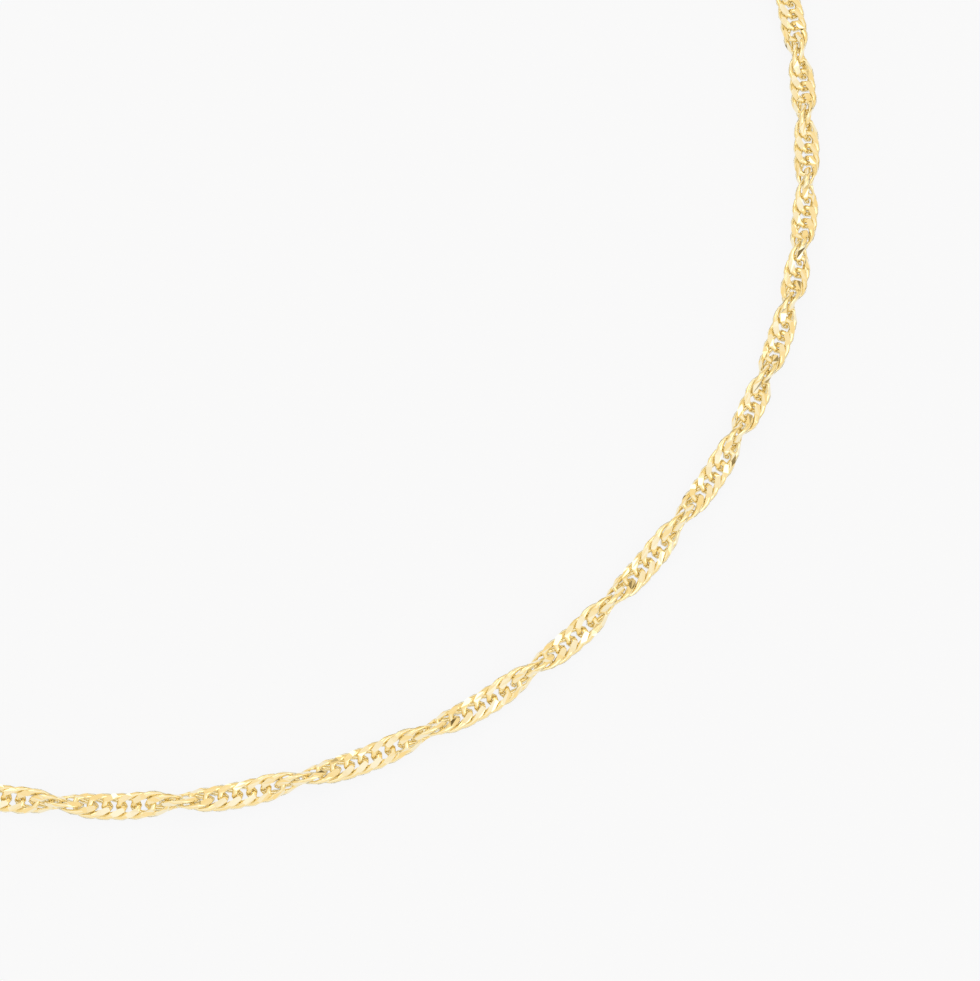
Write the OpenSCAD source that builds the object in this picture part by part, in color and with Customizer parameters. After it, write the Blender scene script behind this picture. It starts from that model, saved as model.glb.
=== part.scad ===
// Singapore neck chain, lying as a closed loop on a flat surface.
// The chain is a flat double curb ribbon twisted along its length. Each of its
// ends finishes in a link, a jump ring joins that to the clasp, and the other
// end has the larger ring that the clasp catches.
// Millimetres, +Z up, +Y from the front of the loop to the clasp.

/* [Chain] */
// Width of the ribbon across its flat
chain_w = 2.45; // [2.25:0.05:2.65]
// Thickness of the ribbon between its cut flats
chain_t = 1.2; // [1.0:0.05:1.3]
// Distance between two rings of the swept ribbon
ring_step = 1.2; // [1.0:0.1:2.5]

/* [End links] */
// Outer diameter of the last link at each end
end_link_d = 2.2; // [2.0:0.1:2.4]
// Wire of the last link
end_link_wire = 0.42; // [0.36:0.02:0.46]

/* [Rings] */
// Outer diameter of the jump ring that carries the clasp
jump_ring_d = 3.4; // [3.2:0.1:3.6]
// Outer diameter of the ring that the clasp catches
catch_ring_d = 3.4; // [3.2:0.1:3.6]
// Wire of both rings
ring_wire = 0.6; // [0.5:0.05:0.65]

/* [Clasp] */
// Length of the clasp over its hook and its eye
clasp_l = 9.6; // [9.4:0.1:10]
// Width of the clasp across its hook
hook_w = 4.4; // [4.2:0.1:4.6]
// Thickness of the clasp's hook
hook_t = 1.0; // [0.9:0.05:1.05]
// Thickness of the clasp's eye
eye_t = 0.6; // [0.5:0.05:0.65]
// Outer diameter of the clasp's eye
eye_d = 3.0; // [2.9:0.05:3.1]
// Hole of the clasp's eye
eye_hole_d = 1.8; // [1.75:0.05:1.9]

/* [Hidden] */
$fn = 48;
gold = [0.93, 0.74, 0.42];

// Right half of the loop, from its front middle round its side, as arcs of equal
// length. One more arc brings it to the back, where it runs straight to the back
// middle. Radii in millimetres.
SIDE_RADII = [58.5, 65.9, 53.2, 88.2, 58.3, 60.9, 85.3, 72];
side_arc = 16;
// Half length of the straight stretch at the back, where the clasp lies
back_straight = 10;

// Length of each half turn of the ribbon, from the front middle to either side
HALF_TURNS = [10.9, 12.0, 11.2, 9.3, 10.0, 10.2, 6.2, 7.8, 5.5, 6.7, 6.9, 6.5];
// Length of the half turn that lies across the front middle
front_half_turn = 10.4;
// Where the ribbon first stands on edge, right of the front middle
first_edge_s = 5.2;
// Half turns from the last one listed to the end link, right and left. They bring
// the ribbon's last link square to the end link that it hangs in.
back_turns_right = 10.2;
back_turns_left = 9.9;
// The ribbon dips between two edge stations, but never bends tighter than this.
dip_radius = 5.6;
// The ribbon rests on its flat: it turns slower there than on edge, by this angle.
flat_rest = 19;

// The step that an arc makes when it sets out with heading h.
function arc_step(r, turn, h) = [
    r * (sin(h + turn) - sin(h)),
    r * (cos(h) - cos(h + turn))
];
// Turn of side arc i, and heading and place where it sets out, with the front
// middle at [0, 0].
function arc_turn(i) = side_arc / SIDE_RADII[i] * 180 / PI;
function arc_head(i) = i == 0 ? 0 : arc_head(i - 1) + arc_turn(i - 1);
function arc_start(i) = i == 0 ? [0, 0]
    : arc_start(i - 1) + arc_step(SIDE_RADII[i - 1], arc_turn(i - 1), arc_head(i - 1));

side_arcs = len(SIDE_RADII);
HEADS = [for (i = [0:side_arcs]) arc_head(i)];
STARTS = [for (i = [0:side_arcs]) arc_start(i)];
back_r = (STARTS[side_arcs][0] - back_straight) / sin(HEADS[side_arcs]);
RADII = concat(SIDE_RADII, [back_r]);
back_turn = 180 - HEADS[side_arcs];
arcs_length = side_arcs * side_arc + back_r * back_turn * PI / 180;
half_length = arcs_length + back_straight;
back_y = (STARTS[side_arcs] + arc_step(back_r, back_turn, HEADS[side_arcs]))[1];

// Heading and place of the loop at s millimetres from its front middle;
// positive s runs to the right, negative s to the left.
function arc_at(s) = min(floor(s / side_arc), side_arcs);
function right_heading(s) = s > arcs_length ? 180
    : HEADS[arc_at(s)] + (s - side_arc * arc_at(s)) / RADII[arc_at(s)] * 180 / PI;
function right_place(s) = let (i = arc_at(s))
    STARTS[i] + arc_step(RADII[i], right_heading(s) - HEADS[i], HEADS[i])
    - [max(0, s - arcs_length), 0];
function heading(s) = s < 0 ? -right_heading(-s) : right_heading(s);
function place(s) = let (p = right_place(abs(s))) [s < 0 ? -p[0] : p[0], p[1]];

// The clasp group lies across the back middle, the catch ring to its right.
clasp_mid_x = 0.5;
eye_x = clasp_mid_x - clasp_l / 2 + eye_d / 2;
hook_x = clasp_mid_x + clasp_l / 2 - hook_w / 2;
// The hook's opening is a slot that runs back towards the body.
opening_w = 2.7;
opening_l = 1.2;
// Lean of the rings and of the end links away from the surface
ring_lean = 52;
link_lean = 38;
// Play between a ring and the end link that hooks into it
play = 0.15;
// How far the catch ring's wire stands out of the middle of the hook's opening
catch_reach = 0.4;

function mid_r(outer_d, wire) = (outer_d - wire) / 2;
jump_r = mid_r(jump_ring_d, ring_wire);
catch_r = mid_r(catch_ring_d, ring_wire);
end_r = mid_r(end_link_d, end_link_wire);
jump_x = eye_x - jump_r;
catch_x = hook_x + catch_r + catch_reach;
link_reach = end_r - (ring_wire + end_link_wire) / 2 - play;
left_link_x = jump_x - jump_r - link_reach;
right_link_x = catch_x + catch_r + link_reach;
// Height of the middle of the clasp, its rings and the end links
group_z = ring_wire / 2 + jump_r * sin(ring_lean);
// The clasp's body is as thick as brings it down to the surface.
body_t = 2 * group_z;

// Gap between the ribbon and each end link, and the stations where it ends
ribbon_gap = 0.2;
left_end_s = -(half_length + left_link_x - end_link_d / 2 - ribbon_gap);
right_end_s = half_length - right_link_x - end_link_d / 2 - ribbon_gap;

// Edge stations, where the ribbon stands on edge. Station 0 is the first one right
// of the front middle, and negative ones run to the left.
turns_listed = len(HALF_TURNS);
listed_length = [for (i = 0, l = 0; i <= turns_listed; l = l + HALF_TURNS[min(i, turns_listed - 1)], i = i + 1) l][turns_listed];
back_right = (right_end_s - first_edge_s - listed_length) / back_turns_right;
back_left = (first_edge_s - front_half_turn - listed_length - left_end_s) / back_turns_left;
function half_turn(i) = i == -1 ? front_half_turn
    : i < 0 ? (-i - 2 < turns_listed ? HALF_TURNS[-i - 2] : back_left)
    : i < turns_listed ? HALF_TURNS[i] : back_right;
function edge_station(i) = i == 0 ? first_edge_s
    : i > 0 ? edge_station(i - 1) + half_turn(i - 1)
    : edge_station(i + 1) - half_turn(i);
first_station = -turns_listed - ceil(back_turns_left) - 2;
last_station = turns_listed + ceil(back_turns_right) + 1;
STATIONS = [for (i = [first_station:last_station]) edge_station(i)];
function station_before(s, i = 0) =
    s < STATIONS[i + 1] ? i : station_before(s, i + 1);

// Angle of the ribbon's width above the surface at s, and the half turn there
function ribbon_angle(s) = let (
        i = station_before(s),
        turned = (s - STATIONS[i]) / (STATIONS[i + 1] - STATIONS[i])
    )
    90 + 180 * (first_station + i + turned) - flat_rest * sin(360 * (turned - 0.5));
function half_turn_at(s) = let (i = station_before(s)) STATIONS[i + 1] - STATIONS[i];

// Outline of the ribbon: a flattened eight-sided section.
// Columns: across the flat and through it, as shares of half the width and thickness.
SECTION = [
    [1, 0.5], [0.8, 1], [-0.8, 1], [-1, 0.5],
    [-1, -0.5], [-0.8, -1], [0.8, -1], [1, -0.5]
];
function across(p) = p[0] * chain_w / 2;
function through(p) = p[1] * chain_t / 2;

// Height of the ribbon's middle line. On edge, half its width; lying flat, as low as
// its stiffness lets it dip in that half turn, and never into the surface.
function dip_height(l) = let (
        w = chain_w / 2,
        b = pow(l / PI, 2) / dip_radius
    )
    (sqrt(b * b + 4 * w * w) - b) / 2;
function resting_height(s) = let (a = ribbon_angle(s)) max(
    norm([chain_w / 2 * sin(a), dip_height(half_turn_at(s)) * cos(a)]),
    max([for (p = SECTION) across(p) * sin(a) + through(p) * cos(a)])
);
// At both ends the ribbon rises to the height of the end links.
end_rise = 5;
function middle_height(s) = let (
        h = resting_height(s),
        from_end = max(0, min(s - left_end_s, right_end_s - s)),
        share = pow(max(0, 1 - from_end / end_rise), 2)
    )
    h + share * (group_z - h);

function section_point(p, s) = let (
        h = heading(s),
        a = ribbon_angle(s),
        at = place(s),
        inward = across(p) * cos(a) - through(p) * sin(a),
        up = across(p) * sin(a) + through(p) * cos(a)
    )
    [at[0] - inward * sin(h), at[1] + inward * cos(h), middle_height(s) + up];

// The ribbon's points, one ring of them at each step along the loop
ribbon_steps = ceil((right_end_s - left_end_s) / ring_step);
POINTS = [for (k = [0:ribbon_steps]) for (p = SECTION)
    section_point(p, left_end_s + (right_end_s - left_end_s) * k / ribbon_steps)];

// The loop is centred on the origin, and its lowest point is at z = 0.
function middle(v) = (min(v) + max(v)) / 2;
shift = -[
    middle([for (p = POINTS) p[0]]),
    middle(concat([back_y + hook_w / 2], [for (p = POINTS) p[1]])),
    0
];

// A closed solid through all the ribbon's rings, both ends flat.
module ribbon() {
    n = ribbon_steps;
    m = len(SECTION);
    walls = [for (k = [0:n - 1]) for (j = [0:m - 1])
        let (a = k * m + j, b = k * m + (j + 1) % m, c = b + m, d = a + m)
        each [[a, c, b], [a, d, c]]];
    caps = [[for (j = [0:m - 1]) j], [for (j = [m - 1:-1:0]) n * m + j]];
    polyhedron(POINTS, concat(walls, caps), convexity = 10);
}

// A ring of round wire that leans away from the surface.
module leaning_ring(outer_d, wire, x, lean)
    translate([x + shift[0], back_y + shift[1], group_z])
        rotate([lean, 0, 0])
        rotate_extrude() translate([mid_r(outer_d, wire), 0]) circle(d = wire);

module chain() color(gold)
    translate(shift) ribbon();

// The last link of each end leans the other way from the ring that it hangs on.
module end_link_left() color(gold)
    leaning_ring(end_link_d, end_link_wire, left_link_x, -link_lean);
module end_link_right() color(gold)
    leaning_ring(end_link_d, end_link_wire, right_link_x, -link_lean);

module jump_ring() color(gold)
    leaning_ring(jump_ring_d, ring_wire, jump_x, ring_lean);
module catch_ring() color(gold)
    leaning_ring(catch_ring_d, ring_wire, catch_x, ring_lean);

// A plate of the clasp, centred on the height of the jump ring's middle.
module clasp_plate(thickness)
    translate([shift[0], back_y + shift[1], group_z - thickness / 2])
        linear_extrude(thickness) children();

module disc(x, d) translate([x, 0]) circle(d = d);

// Lobster clasp as one plain piece: a closed hook, a body and an eye.
module clasp() color(gold)
    difference() {
        union() {
            clasp_plate(hook_t) hull() {
                disc(hook_x, hook_w);
                disc(hook_x - opening_l, hook_w * 0.9);
                disc(eye_x + eye_d, eye_d * 0.8);
            }
            clasp_plate(body_t) hull() {
                disc(eye_x + eye_d * 1.1, eye_d * 0.8);
                disc(eye_x + eye_d * 0.8, eye_d * 0.6);
            }
            clasp_plate(eye_t) hull() {
                disc(eye_x, eye_d);
                disc(eye_x + eye_d * 0.6, eye_d * 0.6);
            }
        }
        clasp_plate(body_t + 1) hull() {
            disc(hook_x, opening_w);
            disc(hook_x - opening_l, opening_w * 0.8);
        }
        clasp_plate(body_t + 1) disc(eye_x, eye_hole_d);
    }

chain();
end_link_left();
end_link_right();
jump_ring();
catch_ring();
clasp();
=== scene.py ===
# %% [markdown]
# # A Singapore chain, link by link
#
# The frame is a CAD model of a gold neck chain that lies as a closed loop on
# a pale surface. Its chain is one twisted ribbon there. This lesson puts the
# real links in the ribbon's place, gives every piece its gold, and sets up the
# light and the camera. Lengths are in millimetres, as in the CAD model, up to
# the step that puts a point into the scene, which is in metres.

# %% The frame
import bisect
import math

import bmesh
import bpy
from mathutils import Matrix, Vector
from mathutils.geometry import convex_hull_2d


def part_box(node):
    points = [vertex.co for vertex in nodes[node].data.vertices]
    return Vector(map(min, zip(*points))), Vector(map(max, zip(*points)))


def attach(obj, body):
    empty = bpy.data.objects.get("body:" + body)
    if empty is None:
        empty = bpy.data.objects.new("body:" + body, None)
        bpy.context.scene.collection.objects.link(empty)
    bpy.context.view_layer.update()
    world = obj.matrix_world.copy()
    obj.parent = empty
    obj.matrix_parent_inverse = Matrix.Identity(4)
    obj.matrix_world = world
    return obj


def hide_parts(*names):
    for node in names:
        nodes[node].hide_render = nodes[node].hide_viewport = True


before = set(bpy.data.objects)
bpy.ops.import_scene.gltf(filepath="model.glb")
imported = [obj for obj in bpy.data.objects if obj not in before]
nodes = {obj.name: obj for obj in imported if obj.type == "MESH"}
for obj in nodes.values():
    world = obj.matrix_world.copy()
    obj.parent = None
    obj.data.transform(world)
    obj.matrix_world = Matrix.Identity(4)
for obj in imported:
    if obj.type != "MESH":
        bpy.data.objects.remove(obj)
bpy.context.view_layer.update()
MM = 0.001

# %% [markdown]
# ## The way round
#
# A chain that is laid on a table falls into a smooth loop. The CAD model draws
# each half as arcs of equal length that meet without a corner, with one more arc
# to the back and a short straight stretch there for the clasp. The links need
# the same way round, so the same arcs are repeated here. A Bezier curve would be
# quicker to draw, but its length is hard to control, and the links sit at equal
# distances.

# %% The loop
SIDE_RADII = [58.5, 65.9, 53.2, 88.2, 58.3, 60.9, 85.3, 72.0]
SIDE_ARC = 16.0
BACK_STRAIGHT = 10.0


def arc_step(radius, turn, head):
    """The step that an arc makes when it sets out with a heading in degrees."""
    a, b = math.radians(head), math.radians(head + turn)
    return Vector((radius * (math.sin(b) - math.sin(a)), radius * (math.cos(a) - math.cos(b))))


def lay_arcs(arcs):
    """Each arc with its start, heading and distance from the front, and where the last ends."""
    laid, at, head, run = [], Vector((0, 0)), 0.0, 0.0
    for radius, turn in arcs:
        laid.append((radius, turn, at.copy(), head, run))
        at += arc_step(radius, turn, head)
        head += turn
        run += radius * math.radians(turn)
    return laid, at, head, run


side_arcs = [(radius, math.degrees(SIDE_ARC / radius)) for radius in SIDE_RADII]
_, side_end, side_turn, _ = lay_arcs(side_arcs)
back_radius = (side_end.x - BACK_STRAIGHT) / math.sin(math.radians(side_turn))
LOOP, back_point, _, arcs_length = lay_arcs(side_arcs + [(back_radius, 180.0 - side_turn)])
half_length = arcs_length + BACK_STRAIGHT
print("Loop:", round(2 * half_length, 1), "mm round")

# %% A place on the loop
# The clasp's middle is half a millimetre right of the loop's middle line, and
# its box in the frame gives how far the CAD model was moved to be centred.
CLASP_ASIDE = 0.5
clasp_low, clasp_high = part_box("clasp")
loop_shift = Vector((
    (clasp_low[0] + clasp_high[0]) / 2 / MM - CLASP_ASIDE,
    (clasp_low[1] + clasp_high[1]) / 2 / MM - back_point.y,
))


def loop_at(s):
    """Place and heading in degrees, s mm from the front middle; positive s is to the right."""
    run = abs(s)
    radius, _, start, head, begin = [a for a in LOOP if a[4] <= run][-1]
    turned = math.degrees(min(run, arcs_length) - begin) / radius
    at = start + arc_step(radius, turned, head)
    at.x -= max(0.0, run - arcs_length)
    if s < 0:
        at.x, head, turned = -at.x, -head, -turned
    return at + loop_shift, head + turned


for spot, s in (("front", 0), ("back", half_length)):
    print("Middle of the", spot, [round(v, 2) for v in loop_at(s)[0]])

# %% [markdown]
# ## The twist
#
# What makes a Singapore chain is its twist. The ribbon of links turns over and
# over, so it shows a broad lobe, then a narrow waist where it stands on edge.
# On the real chain the half turns aren't equal: the chain gives where it was
# laid. The lengths between the waists are a short list, as in the CAD model. A
# lying ribbon rests on its flats and turns over quickly on edge, so a sine is
# added to the even turn, which an evenly twisted strip would lack.

# %% Half turns along the chain
# The list runs from the front to the side. Behind it, equal half turns fill
# what is left of the ribbon, which stops just short of the two end links.
HALF_TURNS = [10.9, 12.0, 11.2, 9.3, 10.0, 10.2, 6.2, 7.8, 5.5, 6.7, 6.9, 6.5]
FRONT_HALF_TURN = 10.4
FIRST_EDGE = 5.2
BACK_TURNS_RIGHT, BACK_TURNS_LEFT = 10.2, 9.9
BACK_EDGES = 12
RIBBON_GAP = 0.2


def end_box(name, i):
    """A corner of an end link's box along the loop, in the loop's own millimetres."""
    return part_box(name)[i][0] / MM - loop_shift.x


ribbon_start = -(half_length + end_box("end_link_left", 0) - RIBBON_GAP)
ribbon_end = half_length - end_box("end_link_right", 1) - RIBBON_GAP
print("Ribbon from", round(ribbon_start, 1), "to", round(ribbon_end, 1), "mm")

# %% The stations where the ribbon stands on edge
last_edge = FIRST_EDGE - FRONT_HALF_TURN
back_right = (ribbon_end - FIRST_EDGE - sum(HALF_TURNS)) / BACK_TURNS_RIGHT
back_left = (last_edge - ribbon_start - sum(HALF_TURNS)) / BACK_TURNS_LEFT
rightward = [FIRST_EDGE]
for length in HALF_TURNS + [back_right] * BACK_EDGES:
    rightward.append(rightward[-1] + length)
leftward = [last_edge]
for length in HALF_TURNS + [back_left] * BACK_EDGES:
    leftward.append(leftward[-1] - length)
stations = leftward[::-1] + rightward
print("Half turns at the back:", round(back_right, 2), "mm and", round(back_left, 2), "mm")

# %% The angle of the ribbon
FLAT_REST = 19.0


def half_turn_at(s):
    """Number of the edge before s, how far s is past it, and how long that half turn is."""
    i = bisect.bisect_right(stations, s) - 1
    return i, s - stations[i], stations[i + 1] - stations[i]


def ribbon_angle(s):
    """Angle in degrees from lying flat to the ribbon's width, s mm from the front middle."""
    i, past, length = half_turn_at(s)
    turned = past / length
    rest = FLAT_REST * math.sin(2 * math.pi * (turned - 0.5))
    return 90 + 180 * (i - len(leftward) + turned) - rest


print("The ribbon makes",
      round((ribbon_angle(ribbon_end) - ribbon_angle(ribbon_start)) / 180, 1), "half turns")

# %% [markdown]
# ## One link
#
# Each link is an oval of flattened wire, and its two halves are twisted against
# each other, so that it can pass through the next two links and still lie in
# the ribbon. A ring spun from the wire's section has the right faces already.
# Each of its points is then carried over to the twisted oval, which is simpler
# than sweeping a profile along a curve, and keeps a few dozen faces per link.

# %% The wire's ring
# The section is a hexagon of 1 mm across its corners, so 0.866 mm across its
# flats, which is then scaled. The ring's own radius drops out again.
WIRE_WIDE = 0.55
WIRE_THICK = 0.35
SECTION_SIDES = 6
SECTION_HIGH = 0.866
RING_RADIUS = 10.0
RING_STEPS = 12
MERGE_WITHIN = 0.001


def in_fixed_order(spun):
    """The same faces again in a fixed order, which a spin leaves to chance from run to run."""
    bm = bmesh.new()
    spun.verts.index_update()
    points = [bm.verts.new(v.co) for v in spun.verts]
    for around in sorted([v.index for v in f.verts] for f in spun.faces):
        bm.faces.new([points[i] for i in around])
    return bm


def wire_ring():
    """A round ring of the flattened wire, spun about Z."""
    bm = bmesh.new()
    bmesh.ops.create_circle(bm, segments=SECTION_SIDES, radius=0.5,
                            matrix=Matrix.Rotation(math.radians(90), 4, "X"))
    bmesh.ops.scale(bm, vec=(WIRE_WIDE, 1, WIRE_THICK / SECTION_HIGH), verts=bm.verts)
    bmesh.ops.translate(bm, vec=(RING_RADIUS, 0, 0), verts=bm.verts)
    bmesh.ops.spin(bm, geom=bm.edges[:] + bm.verts[:], cent=(0, 0, 0), axis=(0, 0, 1),
                   angle=math.radians(360), steps=RING_STEPS, use_merge=True)
    bmesh.ops.remove_doubles(bm, verts=bm.verts, dist=MERGE_WITHIN)
    ring = in_fixed_order(bm)
    bmesh.ops.recalc_face_normals(ring, faces=ring.faces)
    return ring


print("Wire:", WIRE_WIDE, "mm wide and", WIRE_THICK, "mm thick before it is fitted")

# %% The twisted oval
# The powers square the oval a little and bring its twist towards its middle.
LINK_TWIST = -40.0
TWIST_POWER = 0.7
OVAL_POWER = 2.2
HALF_LONG = 1.56
HALF_WIDE = 0.93
SMALL_TURN = 0.02


def oval_point(t):
    """The wire's middle line, t radians round the link."""
    c, s = math.cos(t), math.sin(t)
    x = HALF_LONG * math.copysign(abs(c) ** (2 / OVAL_POWER), c)
    r = HALF_WIDE * math.copysign(abs(s) ** (2 / OVAL_POWER), s)
    lean = math.radians(LINK_TWIST) * math.copysign(abs(x / HALF_LONG) ** TWIST_POWER, x)
    return Vector((x, r * math.cos(lean), r * math.sin(lean)))


def twisted_link():
    """The ring's points carried over to the twisted oval."""
    bm = wire_ring()
    for v in bm.verts:
        t = math.atan2(v.co.y, v.co.x)
        outward = math.hypot(v.co.x, v.co.y) - RING_RADIUS
        along = (oval_point(t + SMALL_TURN) - oval_point(t - SMALL_TURN)).normalized()
        up = (Vector((0, 0, 1)) - along * along.z).normalized()
        v.co = oval_point(t) + along.cross(up) * outward + up * v.co.z
    return bm


link = twisted_link()
for face in link.faces:
    face.smooth = True
print("The link before its cut:", len(link.faces), "faces")

# %% [markdown]
# ## The diamond cut
#
# A finished chain runs past a spinning diamond, which shaves small bright flats
# on both of its faces. Drawn into the wire's section, they would follow the wire
# all the way round. Four planes that cut the link, two on each face like a low
# roof, give flats just where the real ones are, and the roof's slope makes the
# two rows of flats catch different light. Last, the whole link, wire and all, is
# made a little wider and a third thicker, which fits it to the ribbon. All links
# change in proportion, so they stay clear.

# %% The diamond cut
# At three quarters of the link's half width, a plane is as far from the
# ribbon's middle as FLAT_CUT says, before the link is made thicker.
FLAT_CUT = 0.36
CUT_ASIDE = 0.75
CUT_WITHIN = 0.0005
ROOF_ANGLE = math.radians(9)
WIDENING, THICKENING = 1.036, 1.35


def cut_flat(bm):
    """Both faces of the ribbon are cut like a low roof: each link loses what stands above it."""
    for side in (1, -1):
        for tilt in (ROOF_ANGLE, -ROOF_ANGLE):
            outward = Vector((0, math.sin(tilt), side * math.cos(tilt)))
            at = Vector((0, math.copysign(HALF_WIDE * CUT_ASIDE, tilt), side * FLAT_CUT))
            cut = bmesh.ops.bisect_plane(bm, geom=bm.verts[:] + bm.edges[:] + bm.faces[:],
                                         dist=CUT_WITHIN, plane_co=at, plane_no=outward,
                                         clear_outer=True)
            rim = [e for e in cut["geom_cut"] if isinstance(e, bmesh.types.BMEdge)]
            # The filled flats take the second material, the same gold painted paler as a painted
            # highlight.
            for f in bmesh.ops.holes_fill(bm, edges=rim, sides=0)["faces"]:
                f.material_index = 1
                f.smooth = False
    bmesh.ops.recalc_face_normals(bm, faces=bm.faces)


cut_flat(link)
bmesh.ops.scale(link, vec=(1, WIDENING, THICKENING), verts=link.verts)
link_mesh = bpy.data.meshes.new("one_link")
link.to_mesh(link_mesh)
print("One link:", len(link.faces), "faces,",
      sum(f.material_index for f in link.faces), "cut flats")

# %% [markdown]
# ## How the ribbon lies
#
# On edge, the ribbon's middle is half its width above the table. Between two
# edges it lies flat and dips towards the table. In a long half turn it comes
# close to it, and in a short one it is too stiff to. A height that follows the
# tightest bend the chain can make gives both, without a cloth simulation. The
# link's own outline, seen along the ribbon, keeps every link out of the table,
# and near the clasp the ribbon rises to the end links.

# %% Height of the ribbon
RIBBON_WIDTH = 2.45
HALF_RIBBON = RIBBON_WIDTH / 2
DIP_RADIUS = 5.6
END_RISE = 5.0
across_through = [(v.co.y, v.co.z) for v in link_mesh.vertices]
link_outline = [across_through[i] for i in convex_hull_2d(across_through)]
end_height = sum(corner[2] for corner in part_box("end_link_left")) / 2 / MM


def middle_height(s):
    """Height of the ribbon's middle line above the table."""
    _, _, length = half_turn_at(s)
    bend = (length / math.pi) ** 2 / DIP_RADIUS
    low = (math.sqrt(bend * bend + 4 * HALF_RIBBON * HALF_RIBBON) - bend) / 2
    angle = math.radians(ribbon_angle(s))
    up, flat = math.sin(angle), math.cos(angle)
    rest = math.hypot(HALF_RIBBON * up, low * flat)
    rest = max([rest] + [y * up + z * flat for y, z in link_outline])
    from_end = max(0, min(s - ribbon_start, ribbon_end - s))
    return rest + max(0, 1 - from_end / END_RISE) ** 2 * (end_height - rest)


for spot, start, stop in (("front", 0, 40), ("side", 70, 100)):
    lowest = min(middle_height(s) for s in range(start, stop))
    print("At the", spot, "the middle line dips to", round(lowest, 2), "mm")

# %% [markdown]
# ## The ribbon
#
# The links could be set one pitch apart, each turned a little further than the
# last. Stiff links would then cut into each other where the ribbon twists and
# bends. Here each point of a link is carried to its own place along the ribbon,
# so a link bends a hair with it, and all links clear each other as they do on a
# flat chain. They become one mesh, because a chain is one piece to pick up, and
# the export writes each object once.

# %% A point of the ribbon


def ribbon_point(s, across, through):
    """A point in metres, s mm along the ribbon and some mm off its middle line."""
    at, head = loop_at(s)
    head, turn = math.radians(head), math.radians(ribbon_angle(s))
    inward = across * math.cos(turn) - through * math.sin(turn)
    up = across * math.sin(turn) + through * math.cos(turn)
    return Vector((at.x - inward * math.sin(head), at.y + inward * math.cos(head),
                   middle_height(s) + up)) * MM


print("The ribbon's first edge, in mm:",
      [round(v / MM, 2) for v in ribbon_point(FIRST_EDGE, HALF_RIBBON, 0)])

# %% All the links
# The middle of the first and the last link is a little way into the ribbon.
LINK_PITCH = 1.27
LINK_IN_END = 0.53
first_link = ribbon_start + LINK_IN_END
last_link = ribbon_end - LINK_IN_END
link_count = round((last_link - first_link) / LINK_PITCH) + 1
chain = bmesh.new()
for i in range(link_count):
    s = first_link + (last_link - first_link) * i / (link_count - 1)
    before = len(chain.verts)
    chain.from_mesh(link_mesh)
    chain.verts.ensure_lookup_table()
    for v in chain.verts[before:]:
        v.co = ribbon_point(s + v.co.x, v.co.y, v.co.z)
chain_mesh = bpy.data.meshes.new("chain_links")
chain.to_mesh(chain_mesh)
chain_links = bpy.data.objects.new("chain_links", chain_mesh)
bpy.context.collection.objects.link(chain_links)
print(link_count, "links,", sum(len(p.vertices) - 2 for p in chain_mesh.polygons), "triangles")

# %% [markdown]
# ## Gold
#
# Yellow gold is a metal whose own colour tints all that it mirrors. Polished
# wire isn't a perfect mirror: fine drawing marks and handling spread the light
# a little, which a small noise in the roughness and the bump gives without an
# image. The diamond-cut flats are smoother than the wire, so they flash, and
# their gold is painted paler than the wire's, a painted highlight that gives
# their glints a cream colour. The cast clasp and its rings are a little duller
# and deeper.

# %% The gold
MARKS_PER_METRE = 2600
MARKS_DETAIL = 3
DENT_METRES = 0.00002


def gold(name, colour, rough_low, rough_high, dent):
    """Polished gold with fine marks: the roughness and the bump follow a small noise."""
    material = bpy.data.materials.new(name)
    material.use_nodes = True
    tree = material.node_tree
    shader = tree.nodes["Principled BSDF"]
    shader.inputs["Base Color"].default_value = (*colour, 1)
    shader.inputs["Metallic"].default_value = 1.0
    place = tree.nodes.new("ShaderNodeTexCoord")
    marks = tree.nodes.new("ShaderNodeTexNoise")
    marks.inputs["Scale"].default_value = MARKS_PER_METRE
    marks.inputs["Detail"].default_value = MARKS_DETAIL
    spread = tree.nodes.new("ShaderNodeMapRange")
    spread.inputs["To Min"].default_value = rough_low
    spread.inputs["To Max"].default_value = rough_high
    bump = tree.nodes.new("ShaderNodeBump")
    bump.inputs["Strength"].default_value = dent
    bump.inputs["Distance"].default_value = DENT_METRES
    tree.links.new(place.outputs["Object"], marks.inputs["Vector"])
    tree.links.new(marks.outputs["Fac"], spread.inputs["Value"])
    tree.links.new(spread.outputs["Result"], shader.inputs["Roughness"])
    tree.links.new(marks.outputs["Fac"], bump.inputs["Height"])
    tree.links.new(bump.outputs["Normal"], shader.inputs["Normal"])
    return material


# %% Gold on every piece
WIRE_COLOUR = (0.967, 0.847, 0.54)
# The cut flats' gold is the wire's gold painted paler: a painted highlight that gives their
# glints a cream colour.
CUT_PAINTED_HIGHLIGHT_COLOUR = (0.97, 0.87, 0.62)
RING_COLOUR = (0.93, 0.78, 0.45)
wire_gold = gold("wire_gold", WIRE_COLOUR, rough_low=0.07, rough_high=0.18, dent=0.15)
cut_gold_painted_highlight = gold("cut_gold_painted_highlight", CUT_PAINTED_HIGHLIGHT_COLOUR, rough_low=0.04, rough_high=0.12, dent=0.05)
ring_gold = gold("ring_gold", RING_COLOUR, rough_low=0.12, rough_high=0.26, dent=0.15)
chain_links.data.materials.append(wire_gold)
chain_links.data.materials.append(cut_gold_painted_highlight)
for name in ("end_link_left", "end_link_right", "jump_ring", "catch_ring", "clasp"):
    for slot in nodes[name].material_slots:
        slot.material = ring_gold
    print(name, "is in", ring_gold.name)
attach(chain_links, "root")
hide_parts("chain")

# %% [markdown]
# ## Floor, light and camera
#
# Small gold pieces are often laid on a sheet that is lit from below as well as
# from above, so they hardly have a shadow. This floor glows and is dark
# otherwise, which does the same. Gold shows what is round it: here a bright
# cover overhead, warmer and dimmer walls lower down, and one thin dark line
# above the table, which draws the small dark specks between the links. A
# colour ramp on the sky's direction is enough for that. The standard view keeps
# the sheet as light as it is, where a film-like view would make it grey.

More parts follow.
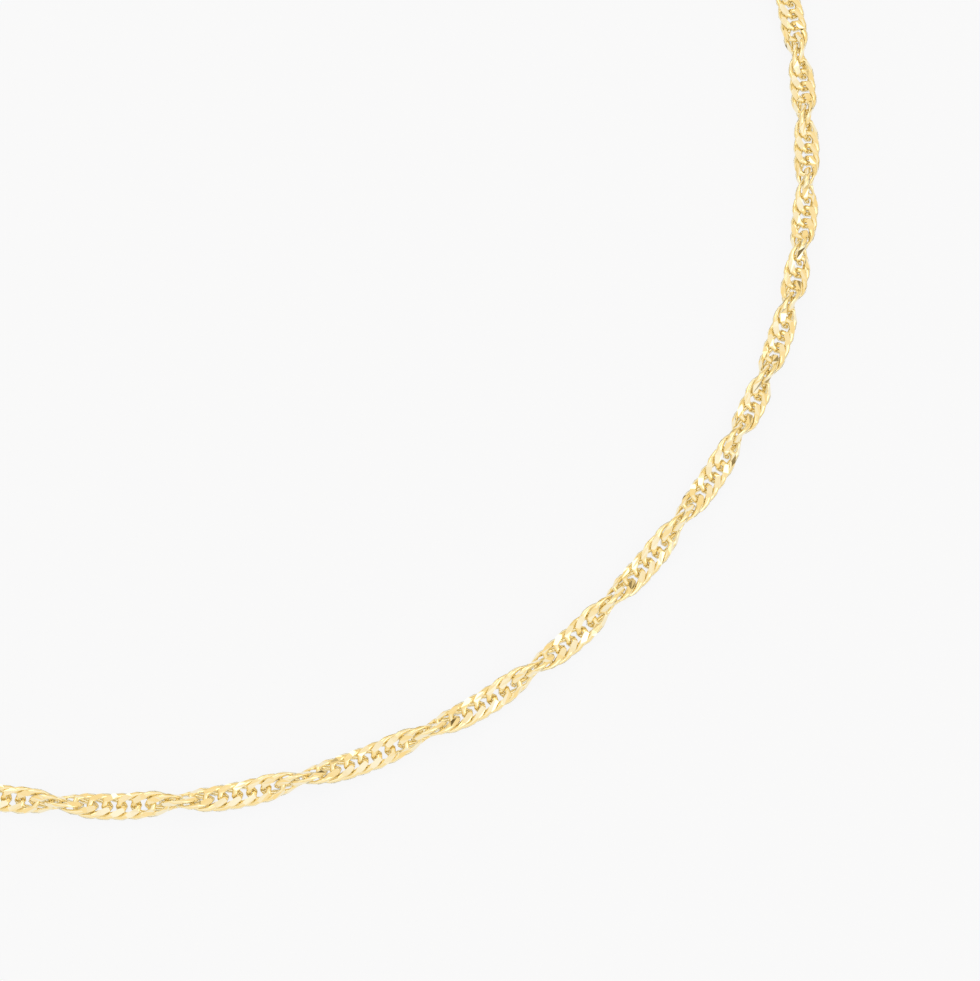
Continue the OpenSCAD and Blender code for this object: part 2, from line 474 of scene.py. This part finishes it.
# %% The floor
# It lies a hair below the chain, so that the two never touch.
FLOOR_REACH = 2.0
FLOOR_BELOW = 0.02
FLOOR_GREY = 0.08
FLOOR_ROUGHNESS = 0.9
GLOW_COLOUR = (0.978, 0.984, 1.0)
GLOW_STRENGTH = 0.883
floor_bm = bmesh.new()
bmesh.ops.create_grid(floor_bm, x_segments=1, y_segments=1, size=FLOOR_REACH)
floor_mesh = bpy.data.meshes.new("floor")
floor_bm.to_mesh(floor_mesh)
floor = bpy.data.objects.new("floor", floor_mesh)
floor.location.z = -FLOOR_BELOW * MM
bpy.context.collection.objects.link(floor)
paper = bpy.data.materials.new("paper")
paper.use_nodes = True
paper_shader = paper.node_tree.nodes["Principled BSDF"]
paper_shader.inputs["Base Color"].default_value = (FLOOR_GREY, FLOOR_GREY, FLOOR_GREY, 1)
paper_shader.inputs["Roughness"].default_value = FLOOR_ROUGHNESS
paper_shader.inputs["Specular IOR Level"].default_value = 0.0
paper_shader.inputs["Emission Color"].default_value = (*GLOW_COLOUR, 1)
paper_shader.inputs["Emission Strength"].default_value = GLOW_STRENGTH
floor.data.materials.append(paper)
print("Floor at", round(floor.location.z / MM, 3), "mm")

# %% The sky
# Each stop gives how far up the sky it is, from 0 at the horizon to 1 at the top,
# and its colour. The sky's brightest place is a little in front of straight up.
WARM = (1.0, 0.82, 0.48)
DARK_LINE = (0.14, 0.10, 0.04)
SKY = [
    (0.0, WARM), (0.11, WARM), (0.14, DARK_LINE), (0.18, DARK_LINE), (0.21, WARM),
    (0.60, (1.0, 0.87, 0.61)), (0.85, (0.99, 0.95, 0.86)),
    (0.95, (1.03, 1.02, 1.01)), (1.0, (1.07, 1.07, 1.07)),
]
SKY_TOP = Vector((0.0, -0.25, 1.0)).normalized()
bpy.context.scene.view_settings.view_transform = "Standard"
world = bpy.data.worlds.new("studio")
bpy.context.scene.world = world
world.use_nodes = True
sky_tree = world.node_tree
sky = sky_tree.nodes["Background"]
sky.inputs["Strength"].default_value = 1.0
direction = sky_tree.nodes.new("ShaderNodeTexCoord")
towards = sky_tree.nodes.new("ShaderNodeVectorMath")
towards.operation = "DOT_PRODUCT"
towards.inputs[1].default_value = SKY_TOP
ramp = sky_tree.nodes.new("ShaderNodeValToRGB")
stops = ramp.color_ramp.elements
for position, _ in SKY[1:-1]:
    stops.new(position)
for stop, (_, colour) in zip(stops, SKY):
    stop.color = (*colour, 1)
sky_tree.links.new(direction.outputs["Generated"], towards.inputs[0])
sky_tree.links.new(towards.outputs["Value"], ramp.inputs["Fac"])
sky_tree.links.new(ramp.outputs["Color"], sky.inputs["Color"])
print("Sky:", [round(stop.position, 2) for stop in stops])

# %% The softboxes
# Name, place in metres, side in metres, and power in watts.
SOFTBOXES = [
    ("key", Vector((-0.35, 0.45, 0.6)), 0.35, 0.37),
    ("fill", Vector((0.5, -0.2, 0.5)), 0.4, 0.46),
]


def softbox(name, at, size, power):
    """A square soft light, turned to the middle of the loop."""
    data = bpy.data.lights.new(name, "AREA")
    data.shape = "SQUARE"
    data.size = size
    data.energy = power
    lamp = bpy.data.objects.new(name, data)
    towards_loop = (-at).to_track_quat("-Z", "Y").to_matrix().to_4x4()
    lamp.matrix_world = Matrix.Translation(at) @ towards_loop
    bpy.context.collection.objects.link(lamp)
    print("Softbox", name, "of", power, "W")


for box in SOFTBOXES:
    softbox(*box)

# %% The camera
# The camera looks down at the front and the right of the loop from a little way
# off, through a long lens, as a close view of a small piece is taken.
CAMERA_HEIGHT_ANGLE = math.radians(68.0)
CAMERA_DISTANCE = 450.0
AIM = Vector((33.13, 30.08)) + loop_shift
LENS = 183.8
SENSOR_WIDTH = 36
NEAREST = 10.0
aim = Vector((AIM.x, AIM.y, 0)) * MM
back = Vector((0, -math.cos(CAMERA_HEIGHT_ANGLE), math.sin(CAMERA_HEIGHT_ANGLE)))
camera_data = bpy.data.cameras.new("camera")
camera_data.lens = LENS
camera_data.sensor_width = SENSOR_WIDTH
camera_data.clip_start = NEAREST * MM
camera = bpy.data.objects.new("camera", camera_data)
camera_place = Matrix.Translation(aim + back * CAMERA_DISTANCE * MM)
camera.matrix_world = camera_place @ back.to_track_quat("Z", "Y").to_matrix().to_4x4()
bpy.context.collection.objects.link(camera)
bpy.context.scene.camera = camera
print("Camera aims at", [round(v, 1) for v in AIM], "mm from", CAMERA_DISTANCE, "mm away")
